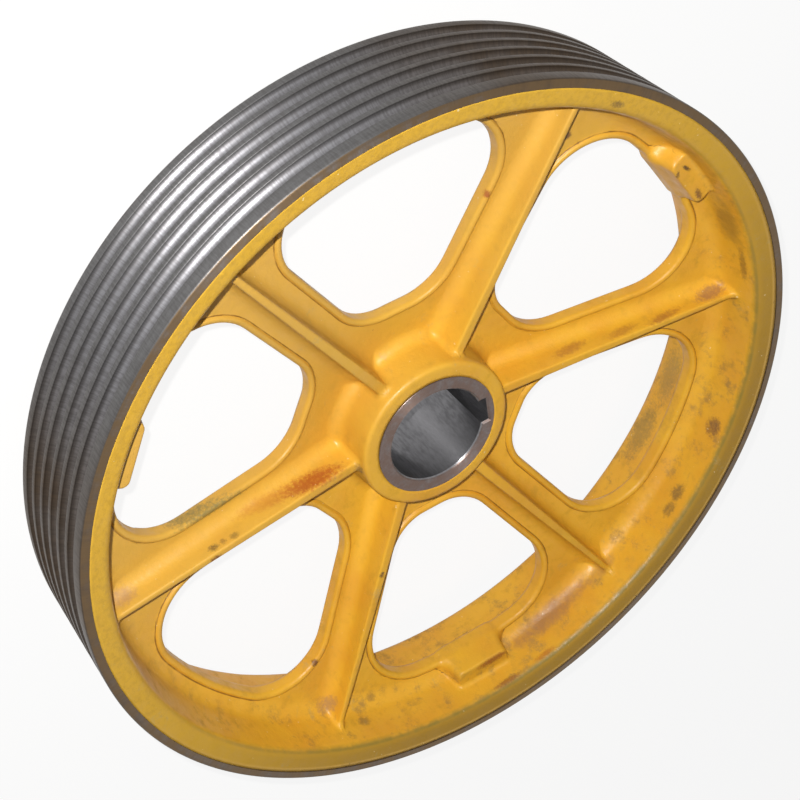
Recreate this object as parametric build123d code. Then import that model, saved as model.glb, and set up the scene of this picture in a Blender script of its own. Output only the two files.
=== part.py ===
from build123d import *
import os
from math import asin, atan2, cos, degrees, hypot, radians, sin, tan

# A grooved rope sheave, cast in iron in one piece and turned on the rim, the hub faces and the bore.
# Millimetres. The axis is +Z, the hub's rear face lies on z = 0, and the open front faces up.

# Rim
sheave_diameter = 600.0
rim_mouth_wall_front = 23.0  # rim thickness at the front opening
rim_mouth_wall_rear = 25.0  # rim thickness at the rear opening
rim_wall_draft = 5.5  # how much thicker the rim gets from the front opening to the web
turned_ring_width = 6.75  # bare turned ring on each side face of the rim
cast_face_step = 0.8  # the as-cast face lies this far below the turned ring
cast_face_fall = 3.4  # further fall of the as-cast face towards the opening
rim_lip_radius = 5.0
rim_edge_chamfer = 1.2

# Rope grooves, half-round
groove_count = 6
groove_pitch = 15.0
groove_radius = 5.25
groove_depth = 5.2
front_groove_inset = 16.5  # front face of the rim to the middle of the first groove
rear_groove_inset = 13.5  # middle of the last groove to the rear face of the rim

# Hub
bore_diameter = 80.0
hub_wall = 23.0  # around the bore, at the hub's ends
hub_length = 80.0
hub_draft = 3.0  # growth of the hub's radius down to the web
hub_turned_width = 11.0  # bare turned ring around the bore
rim_ahead_of_hub = 42.0  # the rim's front face stands this far in front of the hub's
hub_edge_radius = 3.0
bore_chamfer = 1.5
keyway_width = 22.0
keyway_depth = 5.4
keyway_spoke = 5  # the keyway points along this spoke

# Web, a shallow cone that falls back from the rim to the hub
web_thickness = 11.0
web_inset = 48.5  # front face of the rim to the web's front face, at the windows' outer edge
web_dish_angle = 9.34
web_to_rim_fillet = 10.0
web_to_hub_fillet = 10.0

# Windows between the spokes
spoke_count = 6
window_hub_land = 38.5  # web between the hub and the middle of the windows' straight hub side
window_rim_land = 14.5  # web between the windows and the rim
spoke_width_at_hub = 48.5
spoke_width_at_rim = 50.0
window_inner_corner = 40.0
window_outer_corner = 45.0
window_rear_edge_radius = 3.0
bead_width = 5.5
bead_height = 2.5
bead_edge_radius = 2.0

# Ribs that stiffen the spokes
rib_width_at_hub = 12.5  # at the foot, before the fillets
rib_width_at_rim = 8.3
rib_draft_angle = 5.0
rib_height_at_hub = 26.0  # above the web, at the windows' inner edge
rib_height_at_rim = 19.0  # above the web, at the windows' outer edge
rib_crest_radius = 1.0
rib_base_fillet = 12.0
rib_end_fillet = 5.0  # where the crest rises into the rim
rib_side_fillet = 5.0  # where the sides meet the rim

# Balance lugs on the rim's inside
lug_count = 3
lug_width = 50.0  # at the top
lug_height = 23.0
lug_draft_angle = 7.0
lug_corner_radius = 6.0  # at the top
lug_edge_radius = 1.5
lug_setback = 0.5  # the top of the lug's inner face stands this far behind the window's edge

# Worked out from the sizes above
rim_radius = sheave_diameter / 2
rim_front = hub_length + rim_ahead_of_hub
rim_width = front_groove_inset + groove_pitch * (groove_count - 1) + rear_groove_inset
rim_rear = rim_front - rim_width
bore_radius = bore_diameter / 2
hub_radius = bore_radius + hub_wall
hub_root_radius = hub_radius + hub_draft
mouth_radius = rim_radius - rim_mouth_wall_front
mouth_height = rim_front - cast_face_step - cast_face_fall
rim_root_radius = mouth_radius - rim_wall_draft
window_inner_radius = hub_root_radius + window_hub_land
window_outer_radius = rim_root_radius - window_rim_land
dish_slope = tan(radians(web_dish_angle))
spoke_step = 360 / spoke_count
reach = 2 * sheave_diameter  # longer than anything that it cuts
sink = 0.5  # how far a rib or lug is let into what carries it, so that they join


def web_front(radius):
    """Height of the web's front face at a radius."""
    return rim_front - web_inset - dish_slope * (window_outer_radius - radius)


def web_rear(radius):
    """Height of the web's rear face at a radius."""
    return web_front(radius) - web_thickness


def turned_solid(corners):
    """Revolve a closed outline, given as (radius, height, corner radius), about the axis."""
    points = [(radius, height) for radius, height, rounding in corners]
    roundings = [rounding for radius, height, rounding in corners]
    outline = FilletPolyline(*points, radius=roundings, close=True)
    return revolve(Plane.XZ * make_face(outline), Axis.Z)


def around(shape, count, first=0.0):
    """Copies of a shape spaced evenly about the axis, the first one turned by an angle."""
    return [Rot(0, 0, first + 360 / count * i) * shape for i in range(count)]


def rim_and_web():
    """The turned body: grooved rim blank, dished web and bored hub."""
    ring_edge = rim_radius - turned_ring_width
    mouth_rear = rim_radius - rim_mouth_wall_rear
    face_fall = cast_face_step + cast_face_fall
    hub_ring = bore_radius + hub_turned_width
    corners = [
        (bore_radius, bore_chamfer, 0),
        (bore_radius, hub_length - bore_chamfer, 0),
        (bore_radius + bore_chamfer, hub_length, 0),
        (hub_ring, hub_length, 0),
        (hub_ring, hub_length - cast_face_step, 0),
        (hub_radius, hub_length - cast_face_step, hub_edge_radius),
        (hub_root_radius, web_front(hub_root_radius), web_to_hub_fillet),
        (rim_root_radius, web_front(rim_root_radius), web_to_rim_fillet),
        (mouth_radius, mouth_height, rim_lip_radius),
        (ring_edge, rim_front - cast_face_step, 0),
        (ring_edge, rim_front, 0),
        (rim_radius - rim_edge_chamfer, rim_front, 0),
        (rim_radius, rim_front - rim_edge_chamfer, 0),
        (rim_radius, rim_rear + rim_edge_chamfer, 0),
        (rim_radius - rim_edge_chamfer, rim_rear, 0),
        (ring_edge, rim_rear, 0),
        (ring_edge, rim_rear + cast_face_step, 0),
        (mouth_rear, rim_rear + face_fall, rim_lip_radius),
        (rim_root_radius, web_rear(rim_root_radius), web_to_rim_fillet),
        (hub_root_radius, web_rear(hub_root_radius), web_to_hub_fillet),
        (hub_radius, cast_face_step, hub_edge_radius),
        (hub_ring, cast_face_step, 0),
        (hub_ring, 0, 0),
        (bore_radius + bore_chamfer, 0, 0),
    ]
    return turned_solid(corners)


def window_outline():
    """Flat outline of the window between the first two spokes, with its rounded corners."""
    middle = spoke_step / 2
    hub_side = window_inner_radius * tan(radians(middle)) - spoke_width_at_hub / 2 / cos(radians(middle))
    corner_radius = hypot(window_inner_radius, hub_side)
    side_at_hub = middle - degrees(atan2(hub_side, window_inner_radius))
    side_at_rim = degrees(asin(spoke_width_at_rim / 2 / window_outer_radius))

    def at(radius, angle):
        return (radius * cos(radians(angle)), radius * sin(radians(angle)))

    inner_start = at(corner_radius, side_at_hub)
    inner_end = at(corner_radius, spoke_step - side_at_hub)
    outer_start = at(window_outer_radius, side_at_rim)
    outer_end = at(window_outer_radius, spoke_step - side_at_rim)
    outline = Curve() + [
        Line(inner_start, inner_end),
        Line(inner_end, outer_end),
        ThreePointArc(outer_end, at(window_outer_radius, middle), outer_start),
        Line(outer_start, inner_start),
    ]
    window = make_face(outline)
    middle_radius = (window_inner_radius + window_outer_radius) / 2
    hub_corners = window.vertices().filter_by(lambda v: hypot(v.X, v.Y) < middle_radius)
    window = fillet(hub_corners, window_inner_corner)
    rim_corners = window.vertices().filter_by(lambda v: hypot(v.X, v.Y) > window_outer_radius - 0.001)
    return fillet(rim_corners, window_outer_corner)


def height_above_web(point):
    """Height of a point above the middle of the web."""
    return point.Z - web_front(hypot(point.X, point.Y)) + web_thickness / 2


def window_edges(shape, height):
    """Edges that run round the windows, or round their beads, at one height above the web."""
    nearest = window_inner_radius - bead_width - sink
    farthest = window_outer_radius + bead_width + sink

    def runs_round(edge):
        points = [edge.position_at(share) for share in (0, 0.5, 1)]
        level = all(abs(height_above_web(point) - height) < 0.01 for point in points)
        return level and all(nearest < hypot(point.X, point.Y) < farthest for point in points)

    return shape.edges().filter_by(runs_round)


def beads_around_windows():
    """Raised rolls around the windows, before the windows are cut out of them."""
    slab = turned_solid([
        (hub_root_radius, web_rear(hub_root_radius), 0),
        (hub_root_radius, web_front(hub_root_radius) + bead_height, 0),
        (rim_root_radius, web_front(rim_root_radius) + bead_height, 0),
        (rim_root_radius, web_rear(rim_root_radius), 0),
    ])
    outline = offset(window_outline(), amount=bead_width, kind=Kind.ARC)
    bead = extrude(outline, reach) & slab
    return around(bead, spoke_count)


def windowed(shape):
    """Cut the windows, then round their rear edges and their beads."""
    window = extrude(window_outline(), reach)
    shape = shape - around(window, spoke_count)
    shape = fillet(window_edges(shape, -web_thickness / 2), window_rear_edge_radius)
    bead_radius = min(bead_edge_radius, 0.8 * bead_height, 0.4 * bead_width)
    return fillet(window_edges(shape, web_thickness / 2 + bead_height), bead_radius)


def rib():
    """The rib on the first spoke: drafted and tapered sides, flared foot, and a fillet up to the rim."""
    start = bore_radius + hub_turned_width
    end = (rim_radius + mouth_radius) / 2
    crest_at_hub = web_front(window_inner_radius) + rib_height_at_hub
    crest_at_rim = web_front(window_outer_radius) + rib_height_at_rim
    climb = (crest_at_rim - crest_at_hub) / (window_outer_radius - window_inner_radius)
    wall_lean = (mouth_radius - rim_root_radius) / (mouth_height - web_front(rim_root_radius))

    def crest(radius):
        return crest_at_hub + climb * (radius - window_inner_radius)

    corner_height = crest(rim_root_radius)
    corner_radius = rim_root_radius + wall_lean * (corner_height - web_front(rim_root_radius)) + sink
    top_height = corner_height + 1.5 * rib_end_fillet
    top_radius = corner_radius + wall_lean * (top_height - corner_height)
    side_view = FilletPolyline(
        (start, web_front(start) - web_thickness / 2),
        (start, crest(start)),
        (corner_radius, corner_height),
        (top_radius, top_height),
        (end, top_height),
        (end, web_front(end) - web_thickness / 2),
        radius=[0, 0, rib_end_fillet, 0, 0, 0],
        close=True,
    )
    side_prism = extrude(Plane.XZ * make_face(side_view), reach, both=True)

    draft = tan(radians(rib_draft_angle))
    taper = (rib_width_at_hub - rib_width_at_rim) / 2 / (window_outer_radius - window_inner_radius)

    def half_width(radius, height):
        at_foot = rib_width_at_hub / 2 - taper * (radius - window_inner_radius)
        return at_foot - draft * (height - web_front(radius))

    foot = half_width(start, web_front(start))
    tall = 2 * rib_height_at_hub
    spread = foot + rib_base_fillet + sink
    section = FilletPolyline(
        (-spread, -web_thickness / 2),
        (-spread, 0),
        (-foot, 0),
        (draft * tall - foot, tall),
        (spread, tall),
        (spread, -web_thickness / 2),
        radius=[0, 0, rib_base_fillet, 0, 0, 0],
        close=True,
    )
    root = Plane((start, 0, web_front(start) - sink), x_dir=(0, 1, 0), z_dir=(1, 0, 0))
    along_side = Vector(1, taper, dish_slope).normalized()
    one_side = extrude(root * make_face(section), reach, dir=along_side)
    shape = side_prism & one_side & mirror(one_side, about=Plane.XZ)

    def on_crest(edge):
        middle = edge.center()
        inside = start + sink < middle.X < end - sink and middle.Z < top_height - sink
        return inside and abs(middle.Y) > sink and middle.Z > crest(middle.X) - sink

    narrowest = half_width(corner_radius, top_height)
    shape = fillet(shape.edges().filter_by(on_crest), min(rib_crest_radius, 0.8 * narrowest))

    neck = half_width(rim_root_radius, corner_height) - sink
    wall = rim_root_radius + sink
    spread = neck + rib_side_fillet + sink
    plan = FilletPolyline(
        (wall - 2 * rib_side_fillet, -neck),
        (wall, -neck),
        (wall, -spread),
        (end, -spread),
        (end, spread),
        (wall, spread),
        (wall, neck),
        (wall - 2 * rib_side_fillet, neck),
        radius=[0, rib_side_fillet, 0, 0, 0, 0, rib_side_fillet, 0],
        close=True,
    )
    up_the_wall = Vector(wall_lean, 0, 1).normalized()
    flare = extrude(Pos(0, 0, web_front(rim_root_radius)) * make_face(plan), reach, dir=up_the_wall)
    return shape + (flare & Pos(0, 0, -rib_crest_radius) * side_prism)


def lug():
    """One balance lug, along +X, against the rim's inside, its drafted foot reaching down the window's wall."""
    foot = web_rear(window_outer_radius) + window_rear_edge_radius
    height = web_front(window_outer_radius) + lug_height - foot
    growth = height * tan(radians(lug_draft_angle))
    inner = window_outer_radius + lug_setback - growth
    outer = (rim_radius + mouth_radius) / 2
    half_width = lug_width / 2 + growth
    corner = lug_corner_radius + growth
    outline = FilletPolyline(
        (outer, half_width),
        (inner, half_width),
        (inner, -half_width),
        (outer, -half_width),
        radius=[0, corner, corner, 0],
        close=True,
    )
    block = extrude(Pos(0, 0, foot) * make_face(outline), height, taper=lug_draft_angle)
    top_edges = block.faces().sort_by(Axis.Z)[-1].edges().filter_by(lambda e: e.center().X < mouth_radius)
    return fillet(top_edges, lug_edge_radius)


def groove_cutters():
    """Rings that cut the rope grooves into the rim."""
    groove_centre = rim_radius + groove_radius - groove_depth
    cutter = Torus(groove_centre, groove_radius)
    heights = [rim_front - front_groove_inset - groove_pitch * i for i in range(groove_count)]
    return [Pos(0, 0, height) * cutter for height in heights]


def keyway_cutter():
    """Box that cuts the keyway, along +X."""
    depth = bore_radius + keyway_depth
    return Pos(depth / 2, 0, hub_length / 2) * Box(depth, keyway_width, 2 * hub_length)


def sheave_casting():
    """The whole sheave."""
    casting = rim_and_web() + beads_around_windows()
    casting = casting + around(rib(), spoke_count)
    casting = windowed(casting)
    casting = casting + around(lug(), lug_count, 1.5 * spoke_step)
    casting = casting - groove_cutters()
    casting = casting - Rot(0, 0, keyway_spoke * spoke_step) * keyway_cutter()
    return casting


casting = sheave_casting()
print(casting.is_valid, len(casting.solids()), casting.volume)

os.makedirs("parts", exist_ok=True)
export_step(casting, "parts/sheave_casting.step")
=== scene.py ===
import logging
import math
from collections.abc import Callable, Sequence
from dataclasses import dataclass, field
from enum import Enum
from functools import partial, reduce

import bmesh
import bpy
import numpy as np
from mathutils import Matrix, Vector

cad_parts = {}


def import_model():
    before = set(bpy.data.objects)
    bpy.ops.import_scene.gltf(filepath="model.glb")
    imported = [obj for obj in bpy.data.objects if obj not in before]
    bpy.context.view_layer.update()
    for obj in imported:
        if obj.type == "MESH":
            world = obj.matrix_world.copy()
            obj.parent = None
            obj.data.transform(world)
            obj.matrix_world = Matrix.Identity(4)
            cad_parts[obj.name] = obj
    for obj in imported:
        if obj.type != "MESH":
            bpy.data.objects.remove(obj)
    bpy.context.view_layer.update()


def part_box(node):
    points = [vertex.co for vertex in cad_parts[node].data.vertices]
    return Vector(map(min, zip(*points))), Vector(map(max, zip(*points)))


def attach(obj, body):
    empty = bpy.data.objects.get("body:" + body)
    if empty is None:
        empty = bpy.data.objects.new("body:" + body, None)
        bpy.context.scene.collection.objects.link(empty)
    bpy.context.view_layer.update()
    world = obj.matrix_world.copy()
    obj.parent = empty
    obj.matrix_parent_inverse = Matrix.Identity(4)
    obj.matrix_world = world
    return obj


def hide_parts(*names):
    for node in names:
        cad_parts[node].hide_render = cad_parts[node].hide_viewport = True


log = logging.getLogger("sheave")

MM = 0.001
QUARTER_TURN = 0.25
NODE = "sheave_casting"

# Start points, unit directions and lengths of paths in plan.
Rays = tuple[np.ndarray, np.ndarray, np.ndarray]


def linear(hex_colour: str) -> tuple[float, float, float, float]:
    """Turn an sRGB hex colour into linear values.

    Args:
        hex_colour: Six hex digits, such as "e0a030".

    Returns:
        Linear red, green and blue, with an alpha of 1.
    """
    parts = [int(hex_colour[i:i + 2], 16) / 255 for i in (0, 2, 4)]
    red, green, blue = [c / 12.92 if c <= 0.04045 else ((c + 0.055) / 1.055) ** 2.4 for c in parts]
    return red, green, blue, 1.0


# ---------------------------------------------------------------- sizes


@dataclass(frozen=True)
class SheaveSizes:
    """Sizes of the sheave in millimetres. The rim's radius and front height come from the frame."""

    rim_radius: float
    rim_front: float
    rim_width: float = 105.0
    rim_mouth_wall_front: float = 23.0
    rim_mouth_wall_rear: float = 25.0
    rim_wall_draft: float = 5.5
    turned_ring_width: float = 6.75
    cast_face_step: float = 0.8
    cast_face_fall: float = 3.4
    rim_lip_radius: float = 5.0

    groove_count: int = 6
    groove_pitch: float = 15.0
    groove_radius: float = 5.25
    groove_depth: float = 5.2
    front_groove_inset: float = 16.5

    bore_radius: float = 40.0
    hub_wall: float = 23.0
    hub_length: float = 80.0
    hub_draft: float = 3.0
    hub_turned_width: float = 11.0
    keyway_width: float = 22.0
    keyway_depth: float = 5.4
    keyway_angle: float = 300.0

    web_thickness: float = 11.0
    web_inset: float = 48.5
    web_dish_angle: float = 9.34

    window_hub_land: float = 38.5
    window_rim_land: float = 14.5
    spoke_count: int = 6
    spoke_width_at_hub: float = 48.5
    spoke_width_at_rim: float = 50.0
    window_inner_corner: float = 40.0
    window_outer_corner: float = 45.0
    window_edge_radius: float = 3.0
    bead_width: float = 5.5
    bead_height: float = 2.5

    rib_width_at_hub: float = 12.5
    rib_width_at_rim: float = 8.3
    rib_draft_angle: float = 5.0
    rib_height_at_hub: float = 26.0
    rib_height_at_rim: float = 19.0

    lug_width: float = 50.0
    lug_height: float = 23.0
    lug_draft_angle: float = 7.0
    lug_corner_radius: float = 6.0
    lug_setback: float = 0.5

    @property
    def half_sector(self) -> float:
        """Angle from a spoke's centre line to a window's."""
        return math.pi / self.spoke_count

    @property
    def rim_rear(self) -> float:
        """Height of the rim's rear side."""
        return self.rim_front - self.rim_width

    @property
    def cast_rim_radius(self) -> float:
        """Where the painted face ends and the bare turned ring begins."""
        return self.rim_radius - self.turned_ring_width

    @property
    def mouth_radius(self) -> float:
        """Radius of the rim's inner wall at its front mouth."""
        return self.rim_radius - self.rim_mouth_wall_front

    @property
    def rim_root_radius(self) -> float:
        """Radius at which the rim's inner wall meets the web."""
        return self.mouth_radius - self.rim_wall_draft

    @property
    def hub_radius(self) -> float:
        """Radius of the hub at its ends."""
        return self.bore_radius + self.hub_wall

    @property
    def hub_root_radius(self) -> float:
        """Radius of the hub where its drafted wall meets the web."""
        return self.hub_radius + self.hub_draft

    @property
    def hub_ring_radius(self) -> float:
        """Outer radius of the bare turned ring around the bore."""
        return self.bore_radius + self.hub_turned_width

    @property
    def window_inner_radius(self) -> float:
        """Distance from the axis to the windows' straight hub side."""
        return self.hub_root_radius + self.window_hub_land

    @property
    def window_outer_radius(self) -> float:
        """Radius of the windows' rim side."""
        return self.rim_root_radius - self.window_rim_land

    @property
    def dish_slope(self) -> float:
        """Rise of the web for each millimetre outwards."""
        return math.tan(math.radians(self.web_dish_angle))

    def web_front(self, radius: np.ndarray) -> np.ndarray:
        """Height of the web's front face at a radius."""
        return self.rim_front - self.web_inset - self.dish_slope * (self.window_outer_radius - radius)

    def web_rear(self, radius: np.ndarray) -> np.ndarray:
        """Height of the web's rear face at a radius."""
        return self.web_front(radius) - self.web_thickness


# ---------------------------------------------------------------- cast shape


def joined(first: np.ndarray, second: np.ndarray, fillet: float) -> np.ndarray:
    """Distance to two joined bodies, with a round fillet where they meet.

    Args:
        first: Distance to one body.
        second: Distance to the other.
        fillet: Radius of the fillet.

    Returns:
        The distance, below zero inside.
    """
    near_first = np.maximum(fillet - first, 0)
    near_second = np.maximum(fillet - second, 0)
    return np.maximum(fillet, np.minimum(first, second)) - np.hypot(near_first, near_second)


def shared(first: np.ndarray, second: np.ndarray, rounding: float) -> np.ndarray:
    """Distance to what two bodies share, with its outer edge rounded.

    Args:
        first: Distance to one body.
        second: Distance to the other.
        rounding: Radius of the edge.

    Returns:
        The distance, below zero inside.
    """
    near_first = np.maximum(rounding + first, 0)
    near_second = np.maximum(rounding + second, 0)
    return np.minimum(-rounding, np.maximum(first, second)) + np.hypot(near_first, near_second)


@dataclass(frozen=True)
class CastFillets:
    """Radii that the mould and the paint leave on the casting, in millimetres."""

    rib_crest: float = 1.7
    rib_foot: float = 11.0
    rib_to_rim: float = 5.0
    rib_to_hub: float = 5.0
    web: float = 10.0
    hub_edge: float = 3.2
    lug_edge: float = 1.7
    lug_foot: float = 3.5
    bead_top: float = 2.3
    bead_foot: float = 0.9


@dataclass
class CastShape:
    """The casting's front and rear skins, as distances that are zero on the skin.

    Every wall has a draft, as a casting must, so each skin has one height at each place in plan.
    Places are given in the half sector between a spoke's centre line, along +X, and a window's.
    """

    sizes: SheaveSizes
    fillets: CastFillets = field(default_factory=CastFillets)

    def rim(self, radius: np.ndarray, height: np.ndarray, front: bool) -> np.ndarray:
        """Distance to the rim: its drafted inner wall, its lip and its cast side face.

        Args:
            radius: Distance from the axis.
            height: Height, turned over at the rear.
            front: True for the front skin, False for the rear one.

        Returns:
            The distance, below zero inside the iron.
        """
        s = self.sizes
        mouth_wall = s.rim_mouth_wall_front if front else s.rim_mouth_wall_rear
        mouth_radius = s.rim_radius - mouth_wall
        side_height = s.rim_front if front else -s.rim_rear
        root_height = s.web_front(s.rim_root_radius) if front else -s.web_rear(s.rim_root_radius)
        mouth_height = side_height - s.cast_face_step - s.cast_face_fall
        lean = (mouth_radius - s.rim_root_radius) / (mouth_height - root_height)
        wall = (mouth_radius + lean * (height - mouth_height) - radius) * math.cos(math.atan(lean))
        fall = s.cast_face_fall / (s.cast_rim_radius - mouth_radius)
        face_height = side_height - s.cast_face_step - fall * (s.cast_rim_radius - radius)
        face = (height - face_height) * math.cos(math.atan(fall))
        return shared(wall, face, s.rim_lip_radius)

    def hub(self, radius: np.ndarray, height: np.ndarray, front: bool) -> np.ndarray:
        """Distance to the hub's drafted boss.

        Args:
            radius: Distance from the axis.
            height: Height, turned over at the rear.
            front: True for the front skin, False for the rear one.

        Returns:
            The distance, below zero inside the iron.
        """
        s = self.sizes
        end_height = (s.hub_length if front else 0.0) - s.cast_face_step
        root_height = s.web_front(s.hub_root_radius) if front else -s.web_rear(s.hub_root_radius)
        lean = s.hub_draft / (end_height - root_height)
        wall = (radius - s.hub_radius - lean * (end_height - height)) * math.cos(math.atan(lean))
        return shared(wall, height - end_height, self.fillets.hub_edge)

    def rib(self, along: np.ndarray, across: np.ndarray, height: np.ndarray) -> np.ndarray:
        """Distance to the rib on the spoke.

        Args:
            along: Place along the spoke.
            across: Place to its side.
            height: Height along the axis.

        Returns:
            The distance, below zero inside the iron.
        """
        s = self.sizes
        draft = math.radians(s.rib_draft_angle)
        start, end = s.window_inner_radius, s.window_outer_radius
        start_height = s.web_front(start) + s.rib_height_at_hub
        end_height = s.web_front(end) + s.rib_height_at_rim
        climb = (end_height - start_height) / (end - start)
        taper = (s.rib_width_at_hub - s.rib_width_at_rim) / 2 / (end - start)
        foot = s.rib_width_at_hub / 2 - taper * (along - start)
        half_width = foot - math.tan(draft) * (height - s.web_front(along))
        side = (across - half_width) * math.cos(draft)
        crest = (height - start_height - climb * (along - start)) * math.cos(math.atan(climb))
        return shared(side, crest, self.fillets.rib_crest)

    def lug(self, x: np.ndarray, y: np.ndarray, height: np.ndarray) -> np.ndarray:
        """Distance to a balance lug.

        Args:
            x: Place along the spoke.
            y: Place to its side.
            height: Height along the axis.

        Returns:
            The distance, below zero inside the iron.
        """
        s = self.sizes
        along = x * math.cos(s.half_sector) + y * math.sin(s.half_sector)
        across = np.abs(y * math.cos(s.half_sector) - x * math.sin(s.half_sector))
        top_height = s.web_front(s.window_outer_radius) + s.lug_height
        growth = math.tan(math.radians(s.lug_draft_angle)) * (top_height - height)
        inner = s.window_outer_radius + s.lug_setback - growth - along
        side = across - s.lug_width / 2 - growth
        plan = shared(inner, side, s.lug_corner_radius)
        return shared(plan, height - top_height, self.fillets.lug_edge)

    def skin(self, x: np.ndarray, y: np.ndarray, height: np.ndarray, gap: np.ndarray, front: bool,
             with_lug: bool) -> np.ndarray:
        """Distance to a skin. The ribs, beads and lugs are on the front one only.

        Args:
            x: Place along the spoke.
            y: Place to its side.
            height: Height, turned over at the rear.
            gap: Distance in plan to the window.
            front: True for the front skin, False for the rear one.
            with_lug: True where the window has a balance lug.

        Returns:
            The distance, below zero inside the iron.
        """
        s, f = self.sizes, self.fillets
        radius = np.hypot(x, y)
        flat = math.cos(math.radians(s.web_dish_angle))
        rim, hub = self.rim(radius, height, front), self.hub(radius, height, front)
        if front:
            skin = joined(joined(self.rib(x, y, height), rim, f.rib_to_rim), hub, f.rib_to_hub)
            if with_lug:
                skin = joined(skin, self.lug(x, y, height), f.lug_foot)
            web = (height - s.web_front(radius)) * flat
            bead = shared(web - s.bead_height * flat, gap - s.bead_width, f.bead_top)
            skin = joined(joined(skin, web, f.rib_foot), bead, f.bead_foot)
        else:
            skin = joined(joined(rim, hub, f.web), (height + s.web_rear(radius)) * flat, f.web)
        return shared(skin, -gap, s.window_edge_radius)


@dataclass
class SectorRays:
    """Straight paths in plan, from the window's edge square to it, out to the sector's border.

    The steps say how many paths leave each stretch of the window's edge.
    """

    sizes: SheaveSizes
    hub_side_steps: int = 5
    hub_corner_steps: int = 10
    spoke_side_steps: int = 17
    rim_corner_steps: int = 12
    rim_side_steps: tuple[int, ...] = (5, 12, 6)
    lug_foot_reach: float = 8.0
    lug_foot_samples: int = 801

    def half(self) -> Rays:
        """Paths of the half sector next to the spoke along +X.

        Returns:
            Start points, unit directions and lengths, from the hub side round to the rim side.
        """
        s = self.sizes
        inner, outer = s.window_inner_radius, s.window_outer_radius
        hub_rounding, rim_rounding = s.window_inner_corner, s.window_outer_corner
        middle = s.half_sector
        outwards = Vector((math.cos(middle), math.sin(middle)))
        half_at_hub, half_at_rim = s.spoke_width_at_hub / 2, s.spoke_width_at_rim / 2
        near = Vector(((inner - half_at_hub * outwards.y) / outwards.x, half_at_hub))
        far = Vector((math.sqrt(outer ** 2 - half_at_rim ** 2), half_at_rim))
        side = (far - near).normalized()
        into_window = Vector((-side.y, side.x))

        base = near + into_window * hub_rounding
        along = (inner + hub_rounding - base.dot(outwards)) / side.dot(outwards)
        hub_corner = base + side * along
        base = near + into_window * rim_rounding
        from_axis = outer - rim_rounding
        along = -base.dot(side) + math.sqrt(base.dot(side) ** 2 - base.dot(base) + from_axis ** 2)
        rim_corner = base + side * along

        starts: list[Vector] = []
        angles: list[float] = []

        def fan(centre: Vector, rounding: float, spread: Sequence[float]) -> None:
            """Add paths that leave a rounding at the given angles."""
            starts.extend(centre + rounding * Vector((math.cos(a), math.sin(a))) for a in spread)
            angles.extend(float(a) for a in spread)

        def row(first: Vector, last: Vector, angle: float, count: int) -> None:
            """Add parallel paths that leave a straight side.

            Args:
                first: Where the side begins.
                last: Where it ends.
                angle: Direction of the paths.
                count: How many there are.
            """
            shares = np.linspace(0, 1, count, endpoint=False)
            starts.extend(first.lerp(last, float(share)) for share in shares)
            angles.extend([angle] * count)

        def to_spoke_line(centre: Vector, stops: list[float]) -> list[float]:
            """Angles from a corner's centre to places on the spoke's centre line."""
            return [math.atan2(-centre.y, stop - centre.x) for stop in stops]

        # Paths stand closer together where the hub, the rim's wall and its lip curve.
        to_spoke = math.atan2(-into_window.y, -into_window.x)
        hub_foot, rim_foot = (c.x - c.y / math.tan(to_spoke) for c in (hub_corner, rim_corner))
        to_hub = to_spoke_line(hub_corner, self.stops(
            (s.hub_ring_radius, 0), (s.hub_radius - 3, 4), (s.hub_root_radius + 3, 9), (hub_foot, 7)))
        to_rim = to_spoke_line(rim_corner, self.stops(
            (rim_foot, 0), (s.rim_root_radius - 8, 8), (s.mouth_radius + 4, 17), (s.cast_rim_radius, 4)))
        inwards = middle - math.pi
        rim_angle = math.atan2(rim_corner.y, rim_corner.x)
        hub_turn = np.linspace(inwards, to_hub[0], self.hub_corner_steps, endpoint=False)
        rim_turn = np.linspace(to_rim[-1], rim_angle, self.rim_corner_steps, endpoint=False)

        row(inner * outwards, hub_corner - outwards * hub_rounding, inwards, self.hub_side_steps)
        fan(hub_corner, hub_rounding, [*hub_turn, *to_hub[:-1]])
        row(hub_corner - into_window * hub_rounding, rim_corner - into_window * rim_rounding, to_spoke,
            self.spoke_side_steps)
        fan(rim_corner, rim_rounding, [*to_rim[:-1], *rim_turn])
        axis = Vector((0, 0))
        lug_half = s.lug_width / 2 / outer
        rim_side = [rim_angle, middle - 1.3 * lug_half, middle - 0.78 * lug_half, middle]
        for begin, end, count in zip(rim_side[:-1], rim_side[1:], self.rim_side_steps):
            fan(axis, outer, np.linspace(begin, end, count, endpoint=False))
        fan(axis, outer, [middle])

        points = np.array([tuple(v) for v in starts])
        directions = np.stack([np.cos(angles), np.sin(angles)], axis=1)
        return points, directions, self.lengths(points, directions)

    def past_lug_foot(self, rays: Rays, shape: CastShape) -> Rays:
        """Begin the paths on the lug's drafted foot, where it stands into the window.

        Args:
            rays: The paths from the window's edge.
            shape: The cast shape, which holds the lug.

        Returns:
            The same paths with their new starts and lengths.
        """
        s = self.sizes
        points, directions, lengths = rays
        height = s.web_front(s.window_outer_radius) - s.web_thickness / 2
        ahead = np.linspace(0, self.lug_foot_reach, self.lug_foot_samples)[None, :]
        x = points[:, :1] - directions[:, :1] * ahead
        y = points[:, 1:] - directions[:, 1:] * ahead
        inside = joined(ahead, shape.lug(x, y, height), shape.fillets.lug_foot) <= 0
        advance = (inside * ahead).max(axis=1)
        return points - directions * advance[:, None], directions, lengths + advance

    def stops(self, *marks: tuple[float, int]) -> list[float]:
        """Space places from mark to mark.

        Args:
            *marks: Each mark's place and how many steps lead up to it.

        Returns:
            The places.
        """
        places = [marks[0][0]]
        for (begin, _), (end, count) in zip(marks[:-1], marks[1:]):
            places += [float(place) for place in np.linspace(begin, end, count + 1)[1:]]
        return places

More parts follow.
